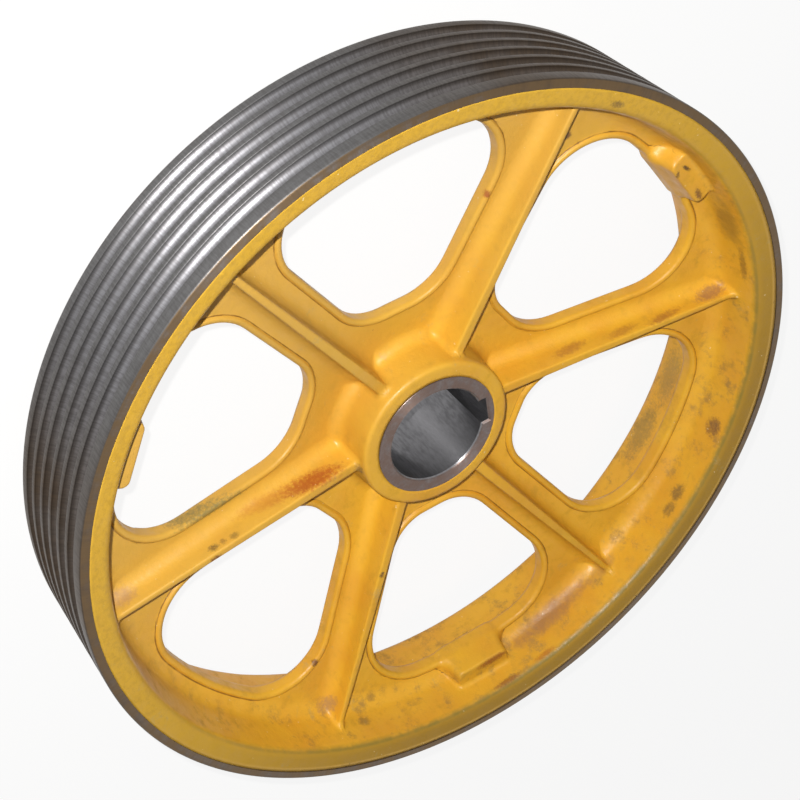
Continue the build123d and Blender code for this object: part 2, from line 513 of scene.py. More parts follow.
    def lengths(self, points: np.ndarray, directions: np.ndarray) -> np.ndarray:
        """Measure each path to the hub's ring, the spoke's centre line or the rim's turned ring.

        Args:
            points: Where the paths start.
            directions: Their unit directions.

        Returns:
            The lengths.
        """
        s = self.sizes
        along = (points * directions).sum(axis=1)
        square = (points ** 2).sum(axis=1)

        def to_circle(radius: float, sign: float) -> np.ndarray:
            """Length to a circle round the axis.

            Args:
                radius: The circle's radius.
                sign: 1 where the path leaves the circle, -1 where it enters.

            Returns:
                The lengths, endless where a path misses the circle.
            """
            under = along ** 2 - square + radius ** 2
            reach = -along + sign * np.sqrt(np.maximum(under, 0))
            return np.where((under > 0) & (reach > 0), reach, np.inf)

        with np.errstate(divide="ignore", invalid="ignore"):
            to_line = np.where(directions[:, 1] < -1e-9, -points[:, 1] / directions[:, 1], np.inf)
        to_hub = to_circle(s.hub_ring_radius, -1.0)
        to_rim = to_circle(s.cast_rim_radius, 1.0)
        return np.minimum(np.minimum(to_hub, to_rim), to_line)


@dataclass
class SkinSampler:
    """Finds the skin's height along each path and spaces points by length and by bend.

    A radian of bend draws as many points as bend_weight mm of length, up to sharpest_bend at once.
    """

    shape: CastShape
    samples: int = 700
    steps: int = 20
    bend_weight: float = 3.4
    sharpest_bend: float = 0.5
    height_margin: float = 5.0

    def settle(self, distance: Callable[[np.ndarray], np.ndarray], below: np.ndarray,
               above: np.ndarray) -> np.ndarray:
        """Halve the height range until it closes on the skin.

        Args:
            distance: The skin's distance at given heights.
            below: Heights below the skin.
            above: Heights above it.

        Returns:
            The skin's heights.
        """
        for _ in range(self.steps):
            middle = (below + above) / 2
            outside = distance(middle) > 0
            above = np.where(outside, middle, above)
            below = np.where(outside, below, middle)
        return (below + above) / 2

    def skin(self, rays: Rays, front: bool, with_lug: bool, count: int) -> np.ndarray:
        """Points of one skin.

        Args:
            rays: Start points, directions and lengths of the paths.
            front: True for the front skin, False for the rear one.
            with_lug: True where the window has a balance lug.
            count: Points along each path.

        Returns:
            An array of paths by points by x, y, z, from the window outwards.
        """
        s = self.shape.sizes
        points, directions, lengths = rays
        share = np.linspace(0, 1, self.samples)
        gap = lengths[:, None] * share[None, :]
        x = points[:, :1] + directions[:, :1] * gap
        y = np.maximum(points[:, 1:] + directions[:, 1:] * gap, 0)
        sign = 1.0 if front else -1.0
        low = min(sign * s.web_rear(s.hub_root_radius), sign * s.web_front(s.rim_radius)) - self.height_margin
        high = (s.rim_front if front else 0.0) + self.height_margin
        height = self.settle(lambda level: self.shape.skin(x, y, level, gap, front, with_lug),
                             np.full(x.shape, low), np.full(x.shape, high))
        run, rise = np.diff(gap, axis=1), np.diff(height, axis=1)
        slope = np.arctan2(rise, run)
        bend = np.abs(np.diff(slope, axis=1, prepend=slope[:, :1]))
        weight = np.hypot(run, rise) + self.bend_weight * np.minimum(bend, self.sharpest_bend)
        total = np.concatenate([np.zeros((len(points), 1)), np.cumsum(weight, axis=1)], axis=1)
        skin = np.empty((len(points), count, 3))
        for i in range(len(points)):
            stops = np.linspace(0, total[i, -1], count)
            for axis, values in enumerate((x, y, sign * height)):
                skin[i, :, axis] = np.interp(stops, total[i], values[i])
        return skin


def new_piece(name: str, corners: np.ndarray, faces: Sequence[tuple[int, ...]] = (),
              edges: Sequence[tuple[int, int]] = ()) -> bpy.types.Object:
    """Make a piece and link it into the scene.

    Args:
        name: The piece's name.
        corners: Its corners in millimetres.
        faces: Corner numbers of each face.
        edges: Corner numbers of each loose edge.

    Returns:
        The piece, in metres.
    """
    mesh = bpy.data.meshes.new(name)
    mesh.from_pydata((corners * MM).tolist(), edges, faces)
    mesh.update()
    piece = bpy.data.objects.new(name, mesh)
    bpy.context.scene.collection.objects.link(piece)
    return piece


def settle_mesh(piece: bpy.types.Object) -> None:
    """Turn all faces outwards and shade them smooth.

    Args:
        piece: The piece.
    """
    work = bmesh.new()
    work.from_mesh(piece.data)
    bmesh.ops.recalc_face_normals(work, faces=work.faces)
    work.to_mesh(piece.data)
    work.free()
    piece.data.shade_smooth()


def mark_creases(piece: bpy.types.Object, shortest: float = 0.2) -> None:
    """Store on each corner how sharply the surface is hollowed, as one over a radius in mm.

    Args:
        piece: The piece, which gets the attribute.
        shortest: Shortest edge in mm that counts at its own length.
    """
    mesh = piece.data
    places = np.empty(len(mesh.vertices) * 3)
    normals = np.empty(len(mesh.vertices) * 3)
    ends = np.empty(len(mesh.edges) * 2, dtype=np.int64)
    mesh.vertices.foreach_get("co", places)
    mesh.vertices.foreach_get("normal", normals)
    mesh.edges.foreach_get("vertices", ends)
    places, normals, ends = places.reshape(-1, 3), normals.reshape(-1, 3), ends.reshape(-1, 2)
    hollow = np.zeros(len(places))
    shares = np.zeros(len(places))
    for a, b in ((ends[:, 0], ends[:, 1]), (ends[:, 1], ends[:, 0])):
        away = (places[b] - places[a]) / MM
        square = np.maximum((away ** 2).sum(axis=1), shortest ** 2)
        np.add.at(hollow, a, 2 * (away * normals[a]).sum(axis=1) / square)
        np.add.at(shares, a, 1)
    hollow /= np.maximum(shares, 1)
    crease = mesh.attributes.new("crease", "FLOAT", "POINT")
    crease.data.foreach_set("value", np.clip(hollow, 0, 1).astype(np.float32))


# ---------------------------------------------------------------- node helpers


def add_node(tree: bpy.types.NodeTree, kind: str, inputs: dict | None = None,
             **settings: object) -> bpy.types.Node:
    """Add a node, with its settings, its input values and its links.

    Args:
        tree: The node tree.
        kind: The node's type name.
        inputs: Input name or index to a value, or to an output socket to link from.
        **settings: Properties of the node itself.

    Returns:
        The new node.
    """
    node = tree.nodes.new(kind)
    for key, value in settings.items():
        setattr(node, key, value)
    for key, value in (inputs or {}).items():
        if isinstance(value, bpy.types.NodeSocket):
            tree.links.new(value, node.inputs[key])
        else:
            node.inputs[key].default_value = value
    return node


def add_inputs(tree: bpy.types.NodeTree, **sockets: tuple[str, object]) -> dict[str, str]:
    """Give a Geometry Nodes tree its geometry sockets and named inputs.

    Args:
        tree: The node group.
        **sockets: Input name, with underscores for spaces, to its socket type and default.

    Returns:
        Input name to socket identifier.
    """
    tree.interface.new_socket("Geometry", in_out="INPUT", socket_type="NodeSocketGeometry")
    tree.interface.new_socket("Geometry", in_out="OUTPUT", socket_type="NodeSocketGeometry")
    identifiers = {}
    for name, (kind, default) in sockets.items():
        socket = tree.interface.new_socket(name.replace("_", " "), in_out="INPUT", socket_type=kind)
        if default is not None:
            socket.default_value = default
        identifiers[name] = socket.identifier
    return identifiers


def apply_tree(piece: bpy.types.Object, tree: bpy.types.NodeTree, values: dict[str, object]) -> None:
    """Run a Geometry Nodes tree on a piece and keep the result as its plain mesh.

    Args:
        piece: The piece.
        tree: The tree.
        values: Input identifier to its value.
    """
    modifier = piece.modifiers.new("Nodes", "NODES")
    modifier.node_group = tree
    for identifier, value in values.items():
        modifier[identifier] = value
    graph = bpy.context.evaluated_depsgraph_get()
    result = bpy.data.meshes.new_from_object(piece.evaluated_get(graph))
    piece.modifiers.remove(modifier)
    draft, piece.data = piece.data, result
    bpy.data.meshes.remove(draft)
    result.name = piece.name


# ---------------------------------------------------------------- pieces


@dataclass
class EnamelledCasting:
    """The painted casting: rim, web, ribs, lugs and hub, made as one pair of windows and repeated."""

    sizes: SheaveSizes
    front_points: int = 40
    rear_points: int = 20
    wall_points: int = 3
    ring_tolerance: float = 0.01

    def window_unit(self, with_lug: bool) -> tuple[np.ndarray, list[tuple[int, ...]]]:
        """Make the sixth of the casting around one window.

        Args:
            with_lug: True where the window has a balance lug.

        Returns:
            Its corners in millimetres and its faces.
        """
        s = self.sizes
        shape = CastShape(s)
        rays = SectorRays(s).half()
        if with_lug:
            rays = SectorRays(s).past_lug_foot(rays, shape)
        sampler = SkinSampler(shape)
        front = sampler.skin(rays, True, with_lug, self.front_points)
        rear = sampler.skin(rays, False, with_lug, self.rear_points)
        share = np.linspace(0, 1, self.wall_points + 2)[1:-1]
        wall = front[:, :1] + (rear[:, :1] - front[:, :1]) * share[None, :, None]
        half = np.concatenate([front[:, ::-1], wall, rear], axis=1)
        turn = 2 * s.half_sector
        mirrored = half.copy()
        mirrored[..., 0] = math.cos(turn) * half[..., 0] + math.sin(turn) * half[..., 1]
        mirrored[..., 1] = math.sin(turn) * half[..., 0] - math.cos(turn) * half[..., 1]
        loop = np.concatenate([half, mirrored[-2:0:-1]], axis=0)
        rows, columns = loop.shape[:2]
        radius = np.hypot(loop[:, 0, 0], loop[:, 0, 1])
        rings = np.array([s.hub_ring_radius, s.cast_rim_radius])
        on_ring = (np.abs(radius[:, None] - rings) < self.ring_tolerance).any(axis=1)
        faces = []
        for i in range(rows):
            following = (i + 1) % rows
            for j in range(columns - 1):
                a, b = i * columns + j, following * columns + j
                faces.append((a, b, b + 1, a + 1))
            if on_ring[i] and on_ring[following]:
                a, b = i * columns, following * columns
                faces.append((a, a + columns - 1, b + columns - 1, b))
        return loop.reshape(-1, 3), faces

    def repeat_tree(self) -> tuple[bpy.types.NodeTree, dict[str, str]]:
        """Make the tree that repeats the unit around the axis and welds the seams.

        Returns:
            The tree and its input identifiers.
        """
        tree = bpy.data.node_groups.new("repeat_around_axis", "GeometryNodeTree")
        names = add_inputs(
            tree,
            Copies=("NodeSocketInt", 3),
            Weld_Distance=("NodeSocketFloat", 0.00002),
            Material=("NodeSocketMaterial", None),
        )
        given = add_node(tree, "NodeGroupInput").outputs
        line = add_node(tree, "GeometryNodeMeshLine", {"Count": given["Copies"], "Offset": (0, 0, 0)})
        index = add_node(tree, "GeometryNodeInputIndex")
        step = add_node(tree, "ShaderNodeMath", {0: 2 * math.pi, 1: given["Copies"]}, operation="DIVIDE")
        angle = add_node(tree, "ShaderNodeMath", {0: index.outputs[0], 1: step.outputs[0]},
                         operation="MULTIPLY")
        turn = add_node(tree, "ShaderNodeCombineXYZ", {"Z": angle.outputs[0]})
        copies = add_node(tree, "GeometryNodeInstanceOnPoints", {
            "Points": line.outputs[0],
            "Instance": given["Geometry"],
            "Rotation": turn.outputs[0],
        })
        real = add_node(tree, "GeometryNodeRealizeInstances", {"Geometry": copies.outputs[0]})
        weld = add_node(tree, "GeometryNodeMergeByDistance",
                        {"Geometry": real.outputs[0], "Distance": given["Weld Distance"]})
        painted = add_node(tree, "GeometryNodeSetMaterial",
                           {"Geometry": weld.outputs[0], "Material": given["Material"]})
        add_node(tree, "NodeGroupOutput", {"Geometry": painted.outputs[0]})
        return tree, names

    def build(self, material: bpy.types.Material) -> bpy.types.Object:
        """Make the piece.

        Args:
            material: Its finish.

        Returns:
            The piece.
        """
        s = self.sizes
        step = 2 * s.half_sector
        corners: list[np.ndarray] = []
        faces: list[tuple[int, ...]] = []
        for place, with_lug in ((0, False), (1, True)):
            points, quads = self.window_unit(with_lug)
            offset = sum(len(c) for c in corners)
            turned = points.copy()
            turned[:, 0] = math.cos(place * step) * points[:, 0] - math.sin(place * step) * points[:, 1]
            turned[:, 1] = math.sin(place * step) * points[:, 0] + math.cos(place * step) * points[:, 1]
            corners.append(turned)
            faces += [tuple(i + offset for i in quad) for quad in quads]
        piece = new_piece("enamelled_casting", np.concatenate(corners), faces)
        tree, names = self.repeat_tree()
        apply_tree(piece, tree, {names["Copies"]: s.spoke_count // 2, names["Material"]: material})
        settle_mesh(piece)
        mark_creases(piece)
        log.info("enamelled casting: %d faces", len(piece.data.polygons))
        return piece


@dataclass
class TurnedRim:
    """The bare rim: six half-round rope grooves and the turned rings on both side faces."""

    sizes: SheaveSizes
    edge_radius: float = 1.6
    crest_radius: float = 0.35
    arc_steps: int = 14
    edge_steps: int = 5
    crest_steps: int = 4
    segments: int = 320
    sharp_angle: float = 50.0

    def outline(self) -> np.ndarray:
        """Trace the rim's section, closed along the painted part.

        Returns:
            Its corners, as radius and height in millimetres.
        """
        s = self.sizes
        inner, outer = s.cast_rim_radius, s.rim_radius
        r = self.edge_radius
        points: list[tuple[float, float]] = [(inner, s.rim_rear)]

        def arc(cx: float, cz: float, radius: float, first: float, last: float, count: int) -> None:
            """Add an arc's points."""
            for angle in np.radians(np.linspace(first, last, count)):
                points.append((cx + radius * math.cos(angle), cz + radius * math.sin(angle)))

        arc(outer - r, s.rim_rear + r, r, -90, 0, self.edge_steps)
        e = self.crest_radius
        centre = outer + s.groove_radius - s.groove_depth
        swing = math.degrees(math.acos((centre - outer + e) / (s.groove_radius + e)))
        rise = (s.groove_radius + e) * math.sin(math.radians(swing))
        for i in reversed(range(s.groove_count)):
            z = s.rim_front - s.front_groove_inset - i * s.groove_pitch
            arc(outer - e, z - rise, e, 0, swing, self.crest_steps)
            arc(centre, z, s.groove_radius, 180 + swing, 180 - swing, self.arc_steps)
            arc(outer - e, z + rise, e, -swing, 0, self.crest_steps)
        arc(outer - r, s.rim_front - r, r, 0, 90, self.edge_steps)
        points.append((inner, s.rim_front))
        return np.array(points)

    def sweep_tree(self) -> tuple[bpy.types.NodeTree, dict[str, str]]:
        """Make the tree that sweeps the section's outline along a circle.

        Returns:
            The tree and its input identifiers.
        """
        tree = bpy.data.node_groups.new("sweep_round_axis", "GeometryNodeTree")
        names = add_inputs(
            tree,
            Path_Radius=("NodeSocketFloat", 0.3),
            Segments=("NodeSocketInt", 320),
            Material=("NodeSocketMaterial", None),
        )
        given = add_node(tree, "NodeGroupInput").outputs
        path = add_node(tree, "GeometryNodeCurvePrimitiveCircle",
                        {"Resolution": given["Segments"], "Radius": given["Path Radius"]})
        section = add_node(tree, "GeometryNodeMeshToCurve", {"Mesh": given["Geometry"]})
        swept = add_node(tree, "GeometryNodeCurveToMesh",
                         {"Curve": path.outputs[0], "Profile Curve": section.outputs[0]})
        real = add_node(tree, "GeometryNodeRealizeInstances", {"Geometry": swept.outputs[0]})
        finished = add_node(tree, "GeometryNodeSetMaterial",
                            {"Geometry": real.outputs[0], "Material": given["Material"]})
        add_node(tree, "NodeGroupOutput", {"Geometry": finished.outputs[0]})
        return tree, names

    def build(self, material: bpy.types.Material) -> bpy.types.Object:
        """Make the piece.

        Args:
            material: Its finish.

        Returns:
            The piece.
        """
        s = self.sizes
        outline = self.outline()
        flat = np.stack([outline[:, 0] - s.cast_rim_radius, -outline[:, 1], np.zeros(len(outline))], axis=1)
        count = len(flat)
        piece = new_piece("turned_rim", flat, edges=[(i, (i + 1) % count) for i in range(count)])
        tree, names = self.sweep_tree()
        apply_tree(piece, tree, {
            names["Path_Radius"]: s.cast_rim_radius * MM,
            names["Segments"]: self.segments,
            names["Material"]: material,
        })
        settle_mesh(piece)
        piece.data.set_sharp_from_angle(angle=math.radians(self.sharp_angle))
        log.info("turned rim: %d faces", len(piece.data.polygons))
        return piece


@dataclass
class TurnedHub:
    """The bare bore with its keyway, and the turned rings on the hub's ends."""

    sizes: SheaveSizes
    bore_chamfer: float = 1.5
    ring_edge: float = 0.3
    mouth_band: float = 0.12
    arc_steps: int = 132
    wall_steps: int = 4
    floor_steps: int = 11
    sharp_angle: float = 30.0

    def inner_loop(self, grow: float) -> np.ndarray:
        """Outline of the bore and keyway in plan, with the keyway along +X.

        Args:
            grow: How far it is grown outwards, in millimetres.

        Returns:
            Its corners in millimetres.
        """
        s = self.sizes
        radius = s.bore_radius + grow
        half_key = s.keyway_width / 2 + grow
        meet = math.asin(half_key / radius)
        angles = np.linspace(meet, 2 * math.pi - meet, self.arc_steps)
        arc = np.stack([radius * np.cos(angles), radius * np.sin(angles)], axis=1)
        floor = s.bore_radius + s.keyway_depth + grow
        start = radius * math.cos(meet)
        wall = np.linspace(start, floor, self.wall_steps + 1)[1:]
        across = np.linspace(-half_key, half_key, self.floor_steps + 2)[1:-1]
        lower = np.stack([wall, np.full(len(wall), -half_key)], axis=1)
        bottom = np.stack([np.full(len(across), floor), across], axis=1)
        upper = np.stack([wall[::-1], np.full(len(wall), half_key)], axis=1)
        return np.concatenate([arc, lower, bottom, upper])

    def build(self, material: bpy.types.Material) -> bpy.types.Object:
        """Make the piece.

        Args:
            material: Its finish.

        Returns:
            The piece.
        """
        s = self.sizes
        bore = self.inner_loop(0.0)
        mouth = self.inner_loop(self.bore_chamfer)
        angles = np.arctan2(mouth[:, 1], mouth[:, 0])
        ring = np.stack([np.cos(angles), np.sin(angles)], axis=1)
        c, edge, top = self.bore_chamfer, self.ring_edge, s.hub_length
        band = mouth + self.mouth_band * (ring * s.hub_ring_radius - mouth)
        levels = [
            (bore, c),
            (mouth, 0.0),
            (band, 0.0),
            (ring * (s.hub_ring_radius - edge), 0.0),
            (ring * s.hub_ring_radius, edge),
            (ring * s.hub_ring_radius, top - edge),
            (ring * (s.hub_ring_radius - edge), top),
            (band, top),
            (mouth, top),
            (bore, top - c),
        ]
        turn = math.radians(s.keyway_angle)
        rotate = np.array([[math.cos(turn), math.sin(turn)], [-math.sin(turn), math.cos(turn)]])
        corners = [np.column_stack([plan @ rotate, np.full(len(plan), z)]) for plan, z in levels]
        count = len(bore)
        faces = []
        for i in range(len(levels)):
            for j in range(count):
                following = (i + 1) % len(levels) * count
                k = (j + 1) % count
                faces.append((i * count + j, i * count + k, following + k, following + j))
        piece = new_piece("turned_hub", np.concatenate(corners), faces)
        piece.data.materials.append(material)
        settle_mesh(piece)
        piece.data.set_sharp_from_angle(angle=math.radians(self.sharp_angle))
        log.info("turned hub: %d faces", len(piece.data.polygons))
        return piece


# ---------------------------------------------------------------- finishes


class Surface(Enum):
    """The three finishes of the sheave."""

    ENAMEL = "enamel_on_cast_iron"
    GROOVED = "turned_cast_iron_rim"
    BORED = "bored_cast_iron_hub"


class Grain(Enum):
    """How coarse a stain's specks are, in millimetres."""

    TINY = 1.4
    FINE = 2.6
    COARSE = 13.0


class Step(Enum):
    """A finish's steps: the node's type, its settings, its inputs in order and its output."""

    PLUS = ("ShaderNodeMath", {"operation": "ADD"}, (0, 1), 0)
    LESS = ("ShaderNodeMath", {"operation": "SUBTRACT"}, (0, 1), 0)
    TIMES = ("ShaderNodeMath", {"operation": "MULTIPLY"}, (0, 1), 0)
    LARGER = ("ShaderNodeMath", {"operation": "MAXIMUM"}, (0, 1), 0)
    UNSIGNED = ("ShaderNodeMath", {"operation": "ABSOLUTE"}, (0,), 0)
    ANGLE = ("ShaderNodeMath", {"operation": "ARCTAN2"}, (0, 1), 0)
    SCALED = ("ShaderNodeVectorMath", {"operation": "MULTIPLY"}, (0, 1), 0)
    LENGTH = ("ShaderNodeVectorMath", {"operation": "LENGTH"}, (0,), 1)
    SPAN = ("ShaderNodeMapRange", {"interpolation_type": "SMOOTHSTEP"},
            ("Value", "From Min", "From Max", "To Min", "To Max"), 0)
    LAY = ("ShaderNodeMix", {"data_type": "RGBA"}, (0, 6, 7), 2)
    BUMP = ("ShaderNodeBump", {}, ("Height", "Distance", "Normal"), 0)


@dataclass(frozen=True)
class Stain:
    """A rusty, dirty or chipped place: centre, reach and turn about the axis, in mm and degrees."""

    centre: tuple[float, float, float]
    reach: tuple[float, float, float]
    turn: float
    colour: str
    strength: float
    grain: Grain = Grain.FINE


class ShaderTree:
    """A finish's node tree, with its colour so far and the object's own coordinates in millimetres."""

    def __init__(self, surface: Surface, base: str) -> None:
        """Make the material and its coordinates.

        Args:
            surface: The finish, which names the material.
            base: Its lowest colour, in sRGB hex.
        """
        self.material = bpy.data.materials.new(surface.value)
        self.material.use_nodes = True
        self.tree = self.material.node_tree
        self.tree.nodes.clear()
        self.colour: object = linear(base)
        metres = add_node(self.tree, "ShaderNodeTexCoord").outputs["Object"]
        self.place = self.step(Step.SCALED, metres, (1 / MM, 1 / MM, 1 / MM))
        self.x, self.y, self.z = add_node(self.tree, "ShaderNodeSeparateXYZ", {0: self.place}).outputs
        self.radius = self.step(Step.LENGTH, self.step(Step.SCALED, self.place, (1, 1, 0)))

    def step(self, step: Step, *values: object) -> bpy.types.NodeSocket:
        """Add one step, with its inputs in order, and give back its result."""
        kind, settings, keys, output = step.value
        return add_node(self.tree, kind, dict(zip(keys, values)), **settings).outputs[output]

    def product(self, *shares: object) -> object:
        """All shares multiplied together."""
        return reduce(partial(self.step, Step.TIMES), shares)

    def lay(self, colour: object, *shares: object) -> None:
        """Lay a colour over the finish so far, by the product of the shares."""
        over = linear(colour) if isinstance(colour, str) else colour
        self.colour = self.step(Step.LAY, self.product(*shares), self.colour, over)

    def towards(self, direction: tuple[float, float]) -> bpy.types.NodeSocket:
        """How far a place lies from the axis along a direction in plan, in mm."""
        return self.step(Step.PLUS, *(self.product(*pair) for pair in zip((self.x, self.y), direction)))

    def from_height(self, height: float) -> bpy.types.NodeSocket:
        """How far a place lies from a height along the axis, up or down, in mm."""
        return self.step(Step.UNSIGNED, self.step(Step.LESS, self.z, height))

    def around_axis(self, radius: float, draw: float) -> bpy.types.NodeSocket:
        """Coordinates in mm that run round the axis.

        Args:
            radius: Where they keep their true length.
            draw: Their pace along the axis and outwards, where less than 1 draws a pattern out.

        Returns:
            The coordinates.
        """
        angle = self.step(Step.ANGLE, self.y, self.x)
        rolled = (self.product(angle, radius), self.product(self.z, draw), self.product(self.radius, draw))
        return add_node(self.tree, "ShaderNodeCombineXYZ", dict(enumerate(rolled))).outputs[0]

    def patches(self, size: float, detail: float, rough: float, shift: float = 0.0,
                stretch: tuple[float, float, float] = (1, 1, 1),
                space: object = None) -> bpy.types.NodeSocket:
        """Noise from 0 to 1 in patches of a real size.

        Args:
            size: Width of a patch in mm.
            detail: How many finer layers it has.
            rough: How strong they are.
            shift: Moves the pattern, so that no two are alike.
            stretch: The pattern's pace along each axis, where less than 1 draws it out.
            space: Coordinates in mm, if not the object's own.

        Returns:
            The noise.
        """
        place = add_node(self.tree, "ShaderNodeMapping", {
            "Vector": space or self.place,
            "Location": (shift, shift * 0.7, shift * 0.4),
            "Scale": stretch,
        }).outputs[0]
        inputs = {"Vector": place, "Scale": 1 / size, "Detail": detail, "Roughness": rough}
        return add_node(self.tree, "ShaderNodeTexNoise", inputs).outputs[0]

    def stained(self, stain: Stain, specks: bpy.types.NodeSocket) -> bpy.types.NodeSocket:
        """Share of a stain, breaking up into specks away from its centre.

        Args:
            stain: The stain.
            specks: Noise of the stain's grain.

        Returns:
            The share.
        """
        place = add_node(self.tree, "ShaderNodeMapping", {
            "Vector": self.place,
            "Location": stain.centre,
            "Rotation": (0, 0, math.radians(stain.turn)),
            "Scale": stain.reach,
        }, vector_type="TEXTURE").outputs[0]
        near = self.step(Step.SPAN, self.step(Step.LENGTH, place), 1.25, 0.1, 0.0, 0.85)
        return self.step(Step.SPAN, self.step(Step.PLUS, near, specks), 0.88, 1.42)

    def relief(self, *layers: tuple[object, float]) -> bpy.types.NodeSocket:
        """Bumps over one another.

        Args:
            *layers: Each bump's height of 0 to 1 and its depth in mm.

        Returns:
            The normal.
        """
        under: list[object] = []
        for height, depth in layers:
            under = [self.step(Step.BUMP, height, depth * MM, *under)]
        return under[0]

    def finish(self, **inputs: object) -> bpy.types.Material:
        """Close the tree with its shader.

        Args:
            **inputs: The shader's inputs, with underscores for spaces.

        Returns:
            The material.
        """
        named = {name.replace("_", " "): value for name, value in inputs.items()}
        shader = add_node(self.tree, "ShaderNodeBsdfPrincipled", {"Base Color": self.colour, **named})
        add_node(self.tree, "ShaderNodeOutputMaterial", {"Surface": shader.outputs[0]})
        return self.material

    def finish_turned(self, **inputs: object) -> bpy.types.Material:
        """Close the tree as bare metal, whose highlights spread across the marks round its axis."""
        marks = add_node(self.tree, "ShaderNodeTangent", direction_type="RADIAL", axis="Z").outputs[0]
        return self.finish(Metallic=1.0, Anisotropic_Rotation=QUARTER_TURN, Tangent=marks, **inputs)


@dataclass(frozen=True)
class EnamelOnCastIron:
    """Golden-yellow alkyd enamel, brushed over sand-cast iron, scuffed and rust-stained in service.

    The sand of the mould shows through as a fine orange peel, the rim's face is thinner and greener,
    rust and dirt settle in the lower pockets, and the gloss is low and uneven. Light and shade are painted
    in as well: the paint is paler towards the lamp, the rim's face and lip darker towards the shaded side,
    the pockets and creases darker with painted shade as well as dirt, and a painted highlight runs along
    the outer edge of the rim's face on the shaded side.
    """

    paint: str = "d6a22c"
    paint_warm: str = "cf962a"
    paint_deep: str = "b88a26"
    lit_side_paint: str = "c29842"
    face_paint: str = "c4992a"
    face_mottle_and_shade: str = "967320"
    lip_shade: str = "7a6a26"
    edge_highlight: str = "c49c4c"
    pocket_dust_and_shade: str = "8a6c3c"
    crease_dirt_and_shade: str = "704a18"
    rust: str = "7c4222"
    speck: str = "e8dcae"
    scuff: str = "a09062"
    roughness: float = 0.40
    sheen: float = 0.36
    # Sizes in mm. The film of paint clouds over a palm's width, and a brush's laps are about 11 wide.
    film_size: float = 60.0
    brush_size: float = 11.0
    # Moulding sand is 0.3 mm fine. Its print is drawn coarser, so that the orange peel shows.
    sand_grain: float = 5.0
    mottle_size: float = 4.0
    streak_size: float = 17.0
    chip_size: float = 6.5
    speck_size: float = 3.4
    scuff_size: float = 26.0
    # Painted shade: towards this direction the rim's face and lip are darker and greener, and the pockets
    # darker, partly with dirt and partly with painted shade.
    shaded_direction: tuple[float, float] = (-0.5, -0.87)
    stains: tuple[Stain, ...] = (
        Stain((-47, 90, 66), (46, 10, 15), 118, "9a4318", 0.85),
        Stain((-63, 119, 64), (50, 8, 12), 118, "b06c28", 0.5),
        Stain((-91, 167, 79), (9, 5, 6), 100, "5a4422", 0.8, Grain.TINY),
        Stain((-82, 151, 78), (8, 4, 6), 135, "645026", 0.6, Grain.TINY),
        Stain((-87, 159, 78), (5, 3, 5), 118, "6a4a24", 0.6, Grain.TINY),
        Stain((-97, 165, 86), (10, 5, 6), 118, "5e2c18", 0.9, Grain.TINY),
        Stain((-72, 168, 60), (70, 8, 16), 116, "70663a", 0.85, Grain.FINE),
        Stain((-188, -198, 86), (84, 16, 18), 317, "946a48", 0.75, Grain.COARSE),
        Stain((-140, -234, 88), (30, 14, 12), 329, "9c7448", 0.5, Grain.COARSE),
        Stain((-52, -270, 101), (15, 12, 10), 349, "6a5430", 0.75),
        Stain((-68, -267, 103), (13, 12, 9), 346, "6a5430", 0.7),
        Stain((16, -274, 103), (17, 12, 13), 3, "6b4a30", 0.8),
        Stain((-30, -271, 36), (52, 12, 22), 354, "74643a", 0.6),
        Stain((30, -271, 40), (50, 12, 22), 6, "7c6c3e", 0.55),
        Stain((133, -221, 84), (27, 12, 12), 300, "8a6048", 0.75),
        Stain((69, -111, 68), (26, 8, 9), 301, "9a6028", 0.65),
        Stain((92, -150, 76), (26, 7, 8), 301, "9a6028", 0.55),
        Stain((110, -182, 83), (30, 7, 8), 301, "925628", 0.65),
        Stain((200, -187, 98), (46, 12, 20), 48, "80602a", 0.6, Grain.COARSE),
        Stain((168, -218, 105), (30, 9, 7), 37, "6c4c26", 0.6),
        Stain((238, -122, 97), (9, 3, 5), 75, "3a2414", 0.9, Grain.TINY),
        Stain((231, -117, 97), (8, 3, 5), 20, "4a2e1a", 0.8, Grain.TINY),
        Stain((219, -146, 97), (12, 5, 5), 50, "5a3420", 0.8, Grain.TINY),
        Stain((242, -23, 71), (6, 5, 6), 355, "5a3a20", 0.9),
        Stain((190, 23, 64), (6, 5, 6), 7, "8a3c20", 0.8),
        Stain((284, -9, 119), (11, 5, 4), 88, "55402a", 0.7, Grain.TINY),
        Stain((-222, -139, 97), (30, 8, 4), 302, "86401e", 0.8, Grain.TINY),
        Stain((-233, -149, 113), (26, 6, 5), 302, "7a4420", 0.7, Grain.TINY),
        Stain((-209, -181, 112), (20, 5, 5), 311, "a0561c", 0.6, Grain.TINY),
        Stain((-262, 9, 80), (15, 17, 12), 0, "8c6a58", 0.6),
        Stain((-273, -23, 94), (10, 10, 8), 5, "80602e", 0.7),
        Stain((-265, -38, 76), (9, 9, 7), 8, "80602e", 0.6),
        Stain((-223, 29, 70), (6, 5, 6), 0, "562c1c", 0.9),
        Stain((-126, 230, 82), (20, 17, 12), 119, "977258", 0.6),
        Stain((-33, 54, 71), (10, 9, 8), 120, "7a5a34", 0.7),
        Stain((-132, 1, 78), (6, 4, 5), 0, "5a3a1c", 0.9),
    )

